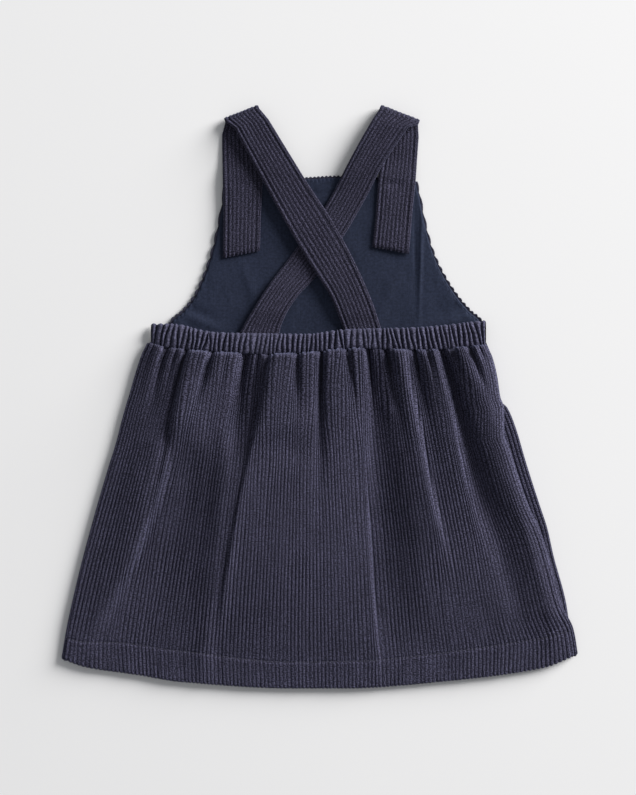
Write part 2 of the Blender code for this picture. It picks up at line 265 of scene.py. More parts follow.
# The back skirt's long crests and feet: where each lies at five levels from the waist to the hem,
# by fractions of the width, and then how high the cloth is there
LEVELS = (0.03, 0.18, 0.38, 0.62, 0.9)
SKIRT_LINES = np.array([
    (0.0, 0.0, 0.0, 0.0, 0.0, 4.8, 4.8, 4.8, 4.9, 5.0),
    (0.03, 0.03, 0.03, 0.025, 0.018, 7.2, 6.4, 6.0, 5.6, 5.5),
    (0.112, 0.116, 0.128, 0.103, 0.045, 9.6, 10.0, 10.4, 9.2, 5.5),
    (0.13, 0.129, 0.147, 0.126, 0.075, 12.0, 12.8, 7.4, 5.0, 4.9),
    (0.165, 0.17, 0.182, 0.17, 0.12, 12.8, 12.2, 7.0, 5.4, 5.1),
    (0.215, 0.22, 0.24, 0.23, 0.2, 12.6, 10.4, 9.4, 8.2, 5.8),
    (0.272, 0.268, 0.285, 0.278, 0.25, 11.8, 10.2, 12.3, 11.2, 6.5),
    (0.298, 0.298, 0.303, 0.29, 0.272, 7.2, 8.4, 12.4, 11.4, 7.1),
    (0.345, 0.337, 0.317, 0.301, 0.288, 8.6, 9.4, 12.4, 11.2, 6.4),
    (0.366, 0.352, 0.327, 0.309, 0.299, 13.6, 14.2, 14.6, 12.8, 5.5),
    (0.385, 0.376, 0.35, 0.33, 0.32, 13.8, 13.8, 13.6, 11.6, 5.6),
    (0.47, 0.47, 0.46, 0.46, 0.46, 13.4, 12.6, 12.8, 10.8, 6.2),
    (0.6, 0.612, 0.612, 0.61, 0.614, 13.2, 11.8, 10.6, 9.4, 6.2),
    (0.638, 0.634, 0.624, 0.62, 0.627, 11.6, 9.6, 8.2, 5.4, 5.0),
    (0.655, 0.65, 0.643, 0.636, 0.65, 7.8, 6.6, 6.8, 5.4, 5.2),
    (0.7, 0.705, 0.72, 0.73, 0.735, 8.6, 10.2, 11.6, 9.8, 5.7),
    (0.742, 0.75, 0.757, 0.772, 0.8, 12.8, 13.2, 13.2, 10.2, 5.9),
    (0.766, 0.77, 0.774, 0.792, 0.825, 9.6, 8.4, 8.8, 9.5, 5.8),
    (0.836, 0.848, 0.846, 0.858, 0.868, 12.4, 10.8, 10.8, 9.7, 5.9),
    (0.853, 0.86, 0.859, 0.872, 0.884, 9.6, 8.0, 8.6, 9.1, 5.8),
    (0.864, 0.868, 0.874, 0.892, 0.91, 6.6, 5.4, 5.8, 8.0, 5.8),
    (0.9, 0.908, 0.92, 0.94, 0.942, 11.2, 10.4, 11.0, 10.6, 6.2),
    (0.955, 0.953, 0.95, 0.957, 0.964, 12.0, 11.8, 12.2, 11.6, 6.5),
    (1.0, 1.0, 1.0, 1.0, 1.0, 8.0, 8.0, 8.2, 7.6, 5.2),
])

# The gathers below the waistband: narrow valleys that swallow some of the wales
GATHERS = rows_of(
    Gather,
    (0.022, 0.0, 0.007, 2.0, 0.1, 1.6),
    (0.062, 0.02, 0.008, 2.6, 0.12, 2.0),
    (0.09, 0.02, 0.006, 2.2, 0.08, 1.6),
    (0.12, 0.0, 0.0055, 4.4, 0.27, 3.4),
    (0.158, 0.0, 0.005, 0.8, 0.06, 1.2),
    (0.196, -0.1, 0.007, 4.0, 0.1, 2.4),
    (0.24, -0.02, 0.006, 1.0, 0.09, 1.6),
    (0.292, 0.0, 0.012, 4.0, 0.22, 4.4),
    (0.33, 0.0, 0.006, 2.0, 0.14, 2.2),
    (0.36, -0.06, 0.006, 3.4, 0.2, 2.6),
    (0.402, 0.0, 0.005, 0.7, 0.06, 1.0),
    (0.444, 0.02, 0.006, 4.4, 0.1, 2.6),
    (0.48, 0.0, 0.004, 0.7, 0.05, 1.0),
    (0.514, -0.02, 0.0065, 7.0, 0.24, 3.6),
    (0.553, 0.0, 0.004, 0.7, 0.05, 1.0),
    (0.587, 0.12, 0.006, 4.4, 0.09, 2.6),
    (0.65, 0.0, 0.009, 4.0, 0.12, 3.2),
    (0.674, 0.0, 0.006, 1.0, 0.07, 2.0),
    (0.702, 0.08, 0.007, 5.0, 0.12, 2.8),
    (0.742, 0.0, 0.005, 0.9, 0.06, 1.4),
    (0.785, 0.02, 0.007, 4.4, 0.12, 2.6),
    (0.824, 0.02, 0.006, 2.6, 0.05, 1.6),
    (0.864, 0.1, 0.007, 5.6, 0.2, 3.4),
    (0.893, 0.1, 0.006, 2.6, 0.07, 1.8),
    (0.942, 0.12, 0.007, 3.4, 0.08, 2.2),
    (0.972, 0.1, 0.005, 2.0, 0.05, 1.2),
)

# Soft swellings and dents of the back skirt, by fractions across and down it
SKIRT_BUMPS = rows_of(
    Spot,
    (0.432, 0.205, 0.075, 0.026, 0.5, 2.6),
    (0.44, 0.285, 0.055, 0.035, 0.5, -2.8),
    (0.16, 0.22, 0.03, 0.08, -0.6, 0.9),
    (0.69, 0.18, 0.014, 0.018, 0.0, 1.6),
    (0.8, 0.48, 0.03, 0.1, 0.0, 0.5),
    (0.56, 0.19, 0.05, 0.06, 0.0, 0.8),
    (0.51, 0.74, 0.06, 0.04, 0.3, -0.7),
    (0.42, 0.62, 0.06, 0.12, 0.2, 0.4),
    (0.24, 0.56, 0.04, 0.12, 0.0, -0.5),
    (0.9, 0.8, 0.05, 0.06, 0.4, 0.7),
    (0.07, 0.4, 0.03, 0.1, 0.0, 0.6),
    (0.972, 0.85, 0.018, 0.03, 0.0, 1.6),
    (0.975, 0.897, 0.028, 0.005, 0.1, -1.2),
)

# How high the waistband's middle lies on what is under it
CASING_LAYERS = rows_of(
    Knot,
    (-143, 3.2), (-130, 6.4), (-85, 8.4), (-70, 9.2), (60, 9.2), (90, 7.8), (125, 6.4), (141, 6.2),
)

# The straps' two edges and their height, from the tail up and then from the shoulder down
STRAP_REST = 4.5
LEFT_FRONT_RUN = rows_of(
    Station,
    (-82.0, 118.2, -50.4, 124.4, STRAP_REST),
    (-81.6, 154.3, -49.7, 154.3, STRAP_REST),
    (-82.0, 181.0, -48.4, 183.0, STRAP_REST),
    (-82.5, 203.0, -49.8, 207.8, 2.2),
    (-82.8, 224.0, -50.8, 231.0, 1.5),
)
LEFT_BACK_RUN = rows_of(
    Station,
    (-74.6, 231.6, -45.2, 238.0, 8.6),
    (-52.3, 190.0, -25.5, 205.6, 9.4),
    (-34.8, 158.0, -8.0, 177.4, 9.2),
    (-18.3, 128.8, 9.0, 151.6, 9.0),
    (-1.0, 101.0, 26.2, 121.0, 8.8),
    (9.2, 84.8, 38.0, 96.0, 8.8),
    (15.6, 69.4, 45.8, 77.0, 8.0),
    (19.2, 60.0, 50.8, 62.0, 6.4),
    (22.0, 50.4, 54.2, 51.6, 6.0),
)
RIGHT_FRONT_RUN = rows_of(
    Station,
    (76.1, 121.6, 44.8, 127.6, STRAP_REST),
    (78.6, 154.3, 47.6, 154.3, STRAP_REST),
    (81.4, 181.0, 49.6, 182.0, STRAP_REST),
    (83.0, 203.0, 53.1, 206.0, 2.2),
    (84.4, 222.0, 54.0, 230.0, 1.5),
)
RIGHT_BACK_RUN = rows_of(
    Station,
    (76.6, 229.6, 46.6, 237.6, 9.4),
    (64.0, 212.0, 33.0, 214.0, 9.4),
    (53.0, 195.0, 23.0, 195.4, 8.4),
    (38.7, 167.3, 11.0, 172.0, 5.3),
    (20.4, 135.6, -4.0, 148.0, 4.8),
    (-3.8, 100.7, -24.0, 119.8, 4.8),
    (-18.3, 85.0, -42.0, 96.0, 6.6),
    (-28.5, 69.2, -55.0, 76.0, 7.2),
    (-33.0, 58.0, -65.0, 59.0, 6.2),
    (-35.0, 47.0, -70.0, 48.4, 6.0),
)
LEFT_SHOULDER = Shoulder(-81.4, 236.6, -52.4, 247.8, 2.7)
RIGHT_SHOULDER = Shoulder(85.4, 234.8, 52.4, 247.8, 3.2)

# Where the straps' tails are caught down at the bib's top, by distance from their ends
LEFT_PUCKER = Pucker(-2.0, 59.0, 2.6, 0.5)
RIGHT_PUCKER = Pucker(4.0, 56.0, 2.4, 1.3)

# Soft creases of the lining: a positive lift is a ridge
LINING_WRINKLES = rows_of(
    Spot,
    (-100, 70, 16.0, 5.0, 0.5, -0.9),
    (-95, 62, 20.0, 4.0, 0.35, 0.8),
    (104, 72, 18.0, 5.0, -0.4, -1.0),
    (112, 64, 20.0, 4.0, -0.3, 0.9),
    (86, 120, 45.0, 1.6, 1.6, 0.9),
    (81, 128, 30.0, 1.6, 1.57, -0.6),
    (0, 173, 60.0, 1.2, 0.02, -0.4),
    (20, 166, 30.0, 1.0, -0.05, 0.4),
    (-30, 169, 18.0, 1.0, 0.1, -0.3),
    (-60, 95, 20.0, 4.0, 1.2, 0.5),
    (60, 90, 26.0, 5.0, -1.1, 0.5),
    (5, 80, 14.0, 4.0, 0.2, -0.5),
)


def mix(low, high, part):
    """The value a fraction of the way from low to high."""
    return low + (high - low) * part


def smooth(low, high, at):
    """0 below low, 1 above high, and a smooth rise between them."""
    s = np.clip((np.asarray(at, float) - low) / (high - low), 0.0, 1.0)
    return s * s * (3 - 2 * s)


def bell(off):
    """1 at nothing, falling smoothly to 0 by about 2 on either side."""
    return np.exp(-(off**2))


def unit(vectors):
    """Vectors brought to a length of 1."""
    return vectors / np.linalg.norm(vectors, axis=-1, keepdims=True)


def run_length(path):
    """How far along a path of points each of them lies."""
    return np.concatenate(([0], np.cumsum(np.linalg.norm(np.diff(path, axis=0), axis=1))))


def grid_of(*parts):
    """Grids, rows and columns of numbers, spread to one size and joined point by point."""
    return np.stack(np.broadcast_arrays(*parts), axis=2)


def curve(keys, values, at):
    """A smooth curve through values at rising keys, which never overshoots them."""
    keys, values = np.asarray(keys, float), np.asarray(values, float)
    at = np.clip(np.asarray(at, float), keys[0], keys[-1])
    spans = np.diff(keys)
    steps = np.diff(values) / spans
    product = steps[:-1] * steps[1:]
    total = np.where(product > 0, steps[:-1] + steps[1:], 1.0)
    inside = np.where(product > 0, 2 * product / total, 0.0)
    slopes = np.concatenate(([steps[0]], inside, [steps[-1]]))
    i = np.clip(np.searchsorted(keys, at, side="right") - 1, 0, len(keys) - 2)
    span = spans[i]
    s = (at - keys[i]) / span
    start = (1 + 2 * s) * (1 - s) ** 2 * values[i] + s * (1 - s) ** 2 * span * slopes[i]
    return start + s * s * (3 - 2 * s) * values[i + 1] + s * s * (s - 1) * span * slopes[i + 1]


def column(rows, name):
    """One named column of a table."""
    return np.array([getattr(row, name) for row in rows], float)


def read(rows, key, name, at):
    """A table's column at values of its key column, on a smooth curve through its rows."""
    keys = column(rows, key)
    order = np.argsort(keys)
    return curve(keys[order], column(rows, name)[order], at)


def at_x(knots, x):
    """A table of values along x, read at these x."""
    return read(knots, "x", "value", x)


def drift(seed, at, step):
    """A smooth random wander between -1 and 1 with about one turn in each step."""
    at = np.asarray(at, float) / step
    values = np.random.default_rng(seed).uniform(-1, 1, 4096)
    low = np.floor(at).astype(int)
    part = at - low
    part = part * part * (3 - 2 * part)
    return mix(values[low % 4096], values[(low + 1) % 4096], part)


def drift2(seed, u, v):
    """A smooth random field between -1 and 1 with about one turn in each unit both ways."""
    values = np.random.default_rng(seed).uniform(-1, 1, (256, 256))
    u, v = np.broadcast_arrays(np.asarray(u, float), np.asarray(v, float))
    i, j = np.floor(u).astype(int), np.floor(v).astype(int)
    s, t = u - i, v - j
    s, t = s * s * (3 - 2 * s), t * t * (3 - 2 * t)
    upper = mix(values[i % 256, j % 256], values[(i + 1) % 256, j % 256], s)
    lower = mix(values[i % 256, (j + 1) % 256], values[(i + 1) % 256, (j + 1) % 256], s)
    return mix(upper, lower, t)


def place(points):
    """Pattern points, in millimetres, as points of the frame."""
    return MIDDLE + np.asarray(points) * UNIT


def wale_columns(first, last):
    """Wale numbers of a mesh's columns, with a few in each wale and one on each groove."""
    steps = [wale + part for wale in range(first, last) for part in WALE_STEPS]
    return np.array(steps + [float(last)])


def groove(wales):
    """How far down a corduroy surface lies at these wale numbers, from 0 on a crest to 1."""
    return 1 - np.abs(np.sin(np.pi * np.asarray(wales))) ** 0.8


def uneven(seed, wales, along):
    """How strongly each wale stands, which changes from wale to wale and where the pile is flat."""
    each = drift2(seed, wales * 1.1, along / 60.0)
    patch = drift2(seed + 1, wales / 9.0, along / 40.0)
    return np.clip(0.80 + 0.35 * each + 0.50 * patch, 0.15, 1.5)


def normals_of(grid, up):
    """Unit normals of a grid of points, the middle one up where up is 1 and down where it is -1."""
    normal = np.cross(np.gradient(grid, axis=0), np.gradient(grid, axis=1))
    normal = normal / np.maximum(np.linalg.norm(normal, axis=2, keepdims=True), 1e-9)
    rows, columns = grid.shape[:2]
    return normal if normal[rows // 2, columns // 2, 2] * up > 0 else -normal


# Meshes


def quads_of(rows, columns):
    """Faces of a grid of points, as corner numbers."""
    i, j = np.meshgrid(np.arange(rows - 1), np.arange(columns - 1), indexing="ij")
    corner = (i * columns + j).ravel()
    return np.stack([corner, corner + 1, corner + columns + 1, corner + columns], axis=1)


def rim_of(rows, columns):
    """Corner numbers round a grid's edge, in order and back to the first."""
    top = np.arange(columns - 1)
    right = np.arange(rows - 1) * columns + columns - 1
    bottom = (rows - 1) * columns + np.arange(columns - 1, 0, -1)
    left = np.arange(rows - 1, -1, -1) * columns
    return np.concatenate([top, right, bottom, left])


def signed_volume(points, faces):
    """Volume inside a closed mesh; it is negative where the faces point in."""
    total = 0.0
    for k in range(1, faces.shape[1] - 1):
        a, b, c = points[faces[:, 0]], points[faces[:, k]], points[faces[:, k + 1]]
        total += np.einsum("ij,ij->i", a, np.cross(b, c)).sum()
    return total / 6


def build_mesh(name, points, face_sets, coords, materials):
    """An object from points, sets of (faces, coordinate numbers, material number) and UVs.

    Its faces are turned to point out if they point in.
    """
    points = place(points)
    volume = sum(signed_volume(points, faces) for faces, _, _ in face_sets)
    if volume < 0:
        face_sets = [(faces[:, ::-1], uv[:, ::-1], number) for faces, uv, number in face_sets]
    corners = [face for faces, _, _ in face_sets for face in faces.tolist()]
    numbers = np.concatenate([np.full(len(faces), number) for faces, _, number in face_sets])
    uvs = coords[np.concatenate([uv.ravel() for _, uv, _ in face_sets])]
    mesh = bpy.data.meshes.new(name)
    mesh.from_pydata(points.tolist(), [], corners)
    mesh.polygons.foreach_set("material_index", numbers.astype(np.int32))
    layer = mesh.uv_layers.new(name="wales")
    layer.data.foreach_set("uv", uvs.astype(np.float32).ravel())
    for material in materials:
        mesh.materials.append(material)
    mesh.update(calc_edges=True)
    mesh.validate()
    mesh.shade_smooth()
    piece = bpy.data.objects.new(name, mesh)
    bpy.context.scene.collection.objects.link(piece)
    return piece


def closed_wall(name, outer, inner, coords, steps, materials):
    """A cloth wall between a fine outer grid and a coarser inner one, joined round their edges.

    The steps divide the fine grid's rows and columns, each less one.
    """
    rows, columns = outer.shape[:2]
    row_step, column_step = steps
    kept = inner[::row_step, ::column_step]
    kept_rows, kept_columns = kept.shape[:2]
    first = rows * columns
    points = np.concatenate([outer.reshape(-1, 3), kept.reshape(-1, 3)])
    flat = np.concatenate([coords.reshape(-1, 2), coords[::row_step, ::column_step].reshape(-1, 2)])
    front = quads_of(rows, columns)
    back = quads_of(kept_rows, kept_columns)[:, ::-1] + first
    fine = rim_of(rows, columns)
    coarse = rim_of(kept_rows, kept_columns) + first
    sides = [column_step] * (kept_columns - 1) + [row_step] * (kept_rows - 1)
    edge, at = [], 0
    for q, step in enumerate(sides + sides):
        for k in range(at, at + step):
            edge.append((fine[k + 1], fine[k], coarse[q]))
        at += step
        edge.append((coarse[q], coarse[q + 1], fine[at]))
    edge = np.array(edge)
    sets = [(front, front, 0), (back, back, len(materials) - 1), (edge, edge, 0)]
    return build_mesh(name, points, sets, flat, materials)


def ring_quads(rows, count):
    """Faces between closed rings, as corner numbers and as numbers in rows with one column more."""
    uv = quads_of(rows, count + 1)
    row, spot = np.divmod(uv, count + 1)
    return row * count + spot % count, uv


def tube(name, rings, coords, materials):
    """A closed body through rings of points, each end sewn flat across from top to bottom.

    The coordinates have one more column than the rings, for where each ring closes.
    """
    rows, count = rings.shape[:2]
    sides, uv = ring_quads(rows, count)
    k = np.arange(count // 2 - 1)
    near = np.stack([k, count - 1 - k, count - 2 - k, k + 1], axis=1)
    far = near[:, ::-1] + (rows - 1) * count
    far_uv = near[:, ::-1] + (rows - 1) * (count + 1)
    sets = [(sides, uv, 0), (near, near, 0), (far, far_uv, 0)]
    return build_mesh(name, rings.reshape(-1, 3), sets, coords.reshape(-1, 2), materials)


# The back skirt


def at_levels(table, down):
    """A table of values at the five levels read at others down the skirt, one row for each."""
    return np.array([curve(LEVELS, line, down) for line in table]).T


def gather_centre(gather, down):
    """Where a gather lies across the skirt as it runs down, by fractions."""
    return gather.across + gather.lean * down


def skirt_height(across, down):
    """Height of the back skirt's outer surface, by fractions across and down it."""
    down = np.broadcast_to(down, across.shape)
    places = at_levels(SKIRT_LINES[:, : len(LEVELS)], down[:, 0])
    heights = at_levels(SKIRT_LINES[:, len(LEVELS) :], down[:, 0])
    height = np.array([curve(*line) for line in zip(places, heights, across)])
    height = LOWEST_FOLD + FOLD_GAIN * (height - LOWEST_FOLD)
    free = smooth(0, FREE_LEFT, across) * smooth(0, FREE_RIGHT, 1 - across)
    for gather in GATHERS:
        width = gather.width * (1 + GATHER_SPREAD * down / gather.reach)
        off = (across - gather_centre(gather, down)) / width
        fade = np.exp(-((down / gather.reach) ** FADE_POWER))
        height -= free * GATHER_GAIN * gather.depth * fade / (1 + off**2) ** VALLEY_POWER
    fade = np.exp(-((down / PUFF_REACH) ** FADE_POWER))
    height += free * PUFF_RISE * pillow(across, down) * fade
    over = np.maximum(height - FOLD_SOFT, 0.0)
    height = np.minimum(height, FOLD_SOFT) + FOLD_SPAN * np.tanh(over / FOLD_SPAN)
    height += free * soft_spots(SKIRT_BUMPS, across, down)
    height = mix(height, HEM_LAYER, HEM_SETTLE * smooth(HEM_START, 1, down))
    return np.maximum(height, LOWEST_CLOTH)


def pillow(across, down):
    """How far each puff between two main gathers swells: 1 in its middle and 0 in the gathers."""
    main = [gather for gather in GATHERS if gather.depth > MAIN_GATHER]
    edges = np.array([-0.02, *column(main, "across"), 1.02])
    leans = np.array([0.0, *column(main, "lean"), 0.0])
    moved = across - np.interp(across, edges, leans) * down
    gap = np.clip(np.searchsorted(edges, moved) - 1, 0, len(edges) - 2)
    wide = edges[gap + 1] - edges[gap]
    off = np.abs((moved - edges[gap]) / wide * 2 - 1)
    return (1 - off**PUFF_POWER) * np.clip(wide / PUFF_WIDTH, 0.3, 1.1)


def soft_spots(spots, x, y):
    """The lift of a table's soft ovals at points: each is turned, and wide and long to its sides."""
    lift = 0.0
    for spot in spots:
        cos, sin = math.cos(spot.turn), math.sin(spot.turn)
        off_x, off_y = x - spot.x, y - spot.y
        across, along = off_x * cos - off_y * sin, off_x * sin + off_y * cos
        lift = lift + spot.lift * np.exp(-((across / spot.wide) ** 2) - (along / spot.long) ** 2)
    return lift


def crowded(parts, down, width):
    """Where the wales lie at one level: closer together in the gathers and on steep slopes."""
    across = np.linspace(0, 1, 1601)
    extra = np.zeros_like(across)
    near_waist = 1 - smooth(0, PULL_REACH, down)
    for gather in GATHERS:
        pull = GATHER_PULL * gather.crowd / (SKIRT_WALES * gather.width * math.pi) * near_waist
        extra += pull / (1 + ((across - gather_centre(gather, down)) / gather.width) ** 2)
    height = skirt_height(across[None, :], np.array([[down]]))[0]
    slope = np.gradient(height, across * width)
    extra += np.clip(np.sqrt(1 + (STEEP_PULL * slope) ** 2) - 1, 0, MOST_PULL)
    window = np.hanning(LOCAL_PULL * 2 + 1)
    padded = np.pad(extra, LOCAL_PULL, mode="edge")
    around = np.convolve(padded, window / window.sum(), mode="valid")
    share = np.cumsum(np.maximum(1 + extra - around, LEAST_SHARE))
    return np.interp(parts, (share - share[0]) / (share[-1] - share[0]), across)


def side(name, down):
    """A column of the skirt's side table at fractions from the waist to the hem."""
    return read(SKIRT_SIDES, "y", name, mix(SKIRT_SIDE_TOP, SKIRT_SIDE_FOOT, down))


def skirt_y(x, down, waist=None):
    """Height on the pattern of a skirt point at x, a fraction of the way down its length."""
    left = side("left", down)
    part = (x - left) / (side("right", down) - left)
    at_waist = mix(side("left", 0.0), side("right", 0.0), part)
    at_hem = mix(side("left", 1.0), side("right", 1.0), part)
    top = at_x(WAIST_SEAM, at_waist) if waist is None else waist
    return mix(top, at_x(HEM, at_hem), down)


def hem_distance(x, y):
    """How far up from the hem's edge a skirt point lies."""
    return y - at_x(HEM, x)


def hem_lift(x, y):
    """What the turned-up hem adds to the skirt's height, with the sunken line of its stitches."""
    above = hem_distance(x, y) - at_x(HEM_DEPTH, x)
    layer = HEM_STEP * (1 - smooth(-1.2, 0.6, above))
    stitches = SUNKEN * bell(above / STITCH_LINE)
    seam = SUNKEN * bell((x - HEM_SEAM) / STITCH_LINE) * (1 - smooth(-3, 0, above))
    ripple = HEM_RIPPLE * drift(71, x, RIPPLE_LENGTH) * (1 - smooth(-4, 3, above))
    return layer - stitches + ripple - seam


def back_skirt_surface(wales, down):
    """The back skirt's outer surface, for columns by wale number and rows by fraction down."""
    wales, down = np.meshgrid(wales, down)
    left, right = side("left", down), side("right", down)
    part = np.clip(wales / SKIRT_WALES, 0, 1)
    fans = []
    for level in FAN_LEVELS:
        fans.append(crowded(part[0], level, side("right", level) - side("left", level)))
    spread = np.array([curve(FAN_LEVELS, fan, down[:, 0]) for fan in np.array(fans).T]).T
    x = mix(left + SIDE_ROLL, right - EDGE_CURL, spread)
    x = x + (side("edge", down) - right) * smooth(0.80, 1.0, spread)
    height = skirt_height((x - left) / (right - left), down)

    # The wales of the turned-up hem run straighter than the fan above it
    depth = at_x(HEM_DEPTH, x)
    below = np.clip(depth - hem_distance(x, skirt_y(x, down)), 0, None)
    inside = np.minimum(wales, SKIRT_WALES - wales).clip(0, 12) / 12
    x = x + HEM_STRAIGHT * below * (1 - 2 * part) * inside
    x = x + WANDER * drift2(17, wales * 0.37, down * 6.0) * inside

    # The left side rolls over and turns flat under the dress, and the right edge curls down
    wrapped = np.clip(-wales * WALE, 0, None)
    turn = np.clip(wrapped / SIDE_ROLL, 0, math.pi)
    x = x - SIDE_ROLL * np.sin(turn) + np.clip(wrapped - math.pi * SIDE_ROLL, 0, None)
    z = height - SIDE_ROLL * (1 - np.cos(turn))
    z = np.where(wrapped > math.pi * SIDE_ROLL, FLOOR, z)
    curled = np.clip((wales - SKIRT_WALES) / CURL_WALES, 0, 1) * math.pi / 2
    x = x + EDGE_CURL * np.sin(curled)
    z = z - (height - side("lip", down)) * (1 - np.cos(curled))

    # The gathered top edge rises from the seam in an arch, steep over a puff and long in a gather
    y = skirt_y(x, down)
    waist = skirt_y(x, 0 * down)
    swell = np.clip(pillow((x - left) / (right - left), down), 0, 1)
    arch = mix(GATHER_ARCH, PUFF_ARCH, swell)
    risen = np.clip((waist - y - ARCH_START * (1 - swell)) / arch, 0, 1)
    tuck = np.sqrt(1 - (1 - risen) ** 2)
    top = wales >= 0
    seam = np.maximum(at_x(CASING_LAYERS, x) - SEAM_DROP, LOWEST_SEAM)
    z = np.where(top, mix(seam, z, tuck), z)
    y = y + np.where(top, SEAM_LAP * (1 - smooth(0, SEAM_REACH, waist - y)), 0)
    z = z + np.where(top & (wales <= SKIRT_WALES), hem_lift(x, y), 0)
    return np.stack([x, y, z], axis=2)


def skirt_rows():
    """Fractions down the skirt of its rows: close at the waist and at the sewn hem."""
    waist = [0, 0.0008, 0.0022, 0.0045, 0.0075, 0.011, 0.0155, 0.021, 0.0275, 0.035, 0.043]
    body = np.linspace(0.052, 0.893, 66)
    sewn = np.linspace(0.898, 0.942, 16)
    return np.concatenate([waist, body, sewn, [0.952, 0.964, 0.976, 0.988, 0.995]])


def with_hem_fold(surface, steps):
    """A surface with its lower edge carried on round the fold of its hem."""
    normal = normals_of(surface[-4:], 1)[-1]
    folds = []
    for angle in np.linspace(0, HEM_TURN, steps + 1)[1:]:
        along = np.array([0.0, -HEM_ROLL * math.sin(angle), 0.0])
        folds.append(surface[-1] + along - normal * HEM_ROLL * (1 - math.cos(angle)))
    return np.concatenate([surface, np.array(folds)])


def skirt_wall(name, surface, normal, depth, wall, coords, materials):
    """A skirt panel's wall of cloth, with its wales sunk into its outer side by these depths."""
    outer, inner = surface - normal * depth[:, :, None], surface - normal * wall
    return closed_wall(name, outer, inner, coords, PANEL_STEPS, materials)


def make_back_skirt(cloth, reverse):
    """The back panel: its relief stands more on the slopes of the folds and in its hem's fold."""
    wales = wale_columns(-UNDER_WALES, SKIRT_WALES + CURL_WALES)
    down = skirt_rows()
    surface = with_hem_fold(back_skirt_surface(wales, down), 5)
    normal = normals_of(surface, 1)
    along = run_length(surface[:, len(wales) // 2])[:, None]
    fold = np.arange(len(surface)) >= len(down)
    tilt = np.abs(normal[:, :, 0]) / np.maximum(np.abs(normal[:, :, 2]), 0.3)
    slope = FLAT_STAND + SLOPE_STAND * np.clip(tilt, 0, MOST_TILT)
    standing = np.minimum(uneven(5, wales[None, :], along) * slope, MOST_STAND)
    depth = WALE_DEPTH * groove(wales)[None, :] * (standing + HEM_STAND * fold[:, None])
    wall = np.where(fold, HEM_WALL, CORDUROY)[:, None, None]
    coords = grid_of(wales[None, :], along)
    return skirt_wall("skirt_back_cloth", surface, normal, depth, wall, coords, [cloth, reverse])


# The front skirt


def front_skirt_surface(wales, down, flat_wales, roll_wales):
    """The front skirt's outer surface: along the floor, round the right roll and back inward."""
    wales, down = np.meshgrid(wales, down)
    left = side("left", down) + SIDE_ROLL + TURN_UNDER + SEAM_GAP
    right = side("roll", down) - SIDE_ROLL
    part = np.clip(wales / flat_wales, 0, 1)
    past = np.clip(wales - flat_wales, 0, None)
    turn = np.clip(past / roll_wales, 0, 1) * math.pi
    x = mix(left, right, part) + SIDE_ROLL * np.sin(turn)
    x = x - np.clip(past - roll_wales, 0, None) * WALE
    pleats = 0.0
    fade = np.exp(-((down / PLEAT_REACH) ** 1.5))
    for gather in GATHERS:
        off = (part - 1 + gather.across) / (gather.width * PLEAT_WIDTH)
        pleats = pleats + FRONT_PLEAT * gather.depth * fade / (1 + off**2)
    z = FLOOR + side("height", down) / 2 * (1 - np.cos(turn)) + np.where(past > 0, 0, pleats)
    return np.stack([x, skirt_y(x, down, FRONT_WAIST), z], axis=2)


def make_front_skirt(cloth, reverse):
    """The front panel, which lies face down and shows only where it rolls over at the right."""
    flat_wales, roll_wales, return_wales = 124, 3, 3
    wales = wale_columns(0, flat_wales + roll_wales + return_wales)
    down = np.concatenate([np.linspace(0, 0.12, 10)[:-1], np.linspace(0.12, 0.992, 46)])
    surface = front_skirt_surface(wales, down, flat_wales, roll_wales)
    normal = normals_of(surface, -1)
    coords = grid_of(wales[None, :], run_length(surface[:, 60 * len(WALE_STEPS)])[:, None])
    depth = (FINE_RELIEF * groove(wales))[None, :]
    materials = [cloth, reverse]
    return skirt_wall("skirt_front_cloth", surface, normal, depth, CORDUROY, coords, materials)


# The bib


def bib_edge(x):
    """Height of the bib's free edge above each x: its top in the middle, its sides beyond."""
    corner_left, corner_right = BIB_TOP[0].x, BIB_TOP[-1].x
    top = at_x(BIB_TOP, x)
    round_left = smooth(corner_left - 1.0, corner_left + 1.5, x)
    round_right = 1 - smooth(corner_right - 1.5, corner_right + 1.0, x)
    left = mix(read(BIB_SIDES, "left", "y", x), top, round_left)
    right = mix(read(BIB_SIDES, "right", "y", x), top, round_right)
    edge = np.where(x < 0, left, right)
    return np.minimum(edge, np.where(np.abs(x) < 90, top, edge))


def bib_surface(inset, scallop, rows):
    """The bib as a curtain of columns from its free edge to its foot, with a scalloped edge."""
    left, right = BIB_SIDES[-1].left + inset, BIB_SIDES[-1].right - inset
    middle, half = (left + right) / 2, (right - left) / 2
    in_wale = len(WALE_STEPS)
    count = int((right - left) / (WALE / in_wale) / in_wale) * in_wale
    x = np.linspace(left, right, count + 1)
    top = bib_edge((x - middle) * (1 + inset / half) + middle) - inset
    y = mix(top[None, :], FRONT_WAIST + SEAM_GAP, np.linspace(0, 1, rows)[:, None] ** 1.5)
    slope = np.gradient(top, x)
    outward = np.stack([-slope, np.ones_like(slope)]) / np.sqrt(1 + slope**2)
    wales = (x - left) / WALE
    crest = np.abs(np.sin(np.pi * wales))[None, :]
    bulge = scallop * crest * (1 - smooth(0, 1.6, top[None, :] - y))
    return x[None, :] + bulge * outward[0], y + bulge * outward[1], wales


def make_bib(cloth, reverse):
    """The bib's corduroy, face down, with its cut edge standing a little round the lining."""
    x, y, wales = bib_surface(BIB_INSET, BIB_SCALLOP, 31)
    edge = BIB_CURL * (1 - smooth(0, 1.2, bib_edge(x[0])[None, :] - y))
    outer = grid_of(x, y, FLOOR + FINE_RELIEF * groove(wales)[None, :])
    inner = grid_of(x, y - edge, CORDUROY + edge)
    coords = grid_of(wales[None, :], -y)
    return closed_wall("bib_cloth", outer, inner, coords, (1, 1), [cloth, reverse])


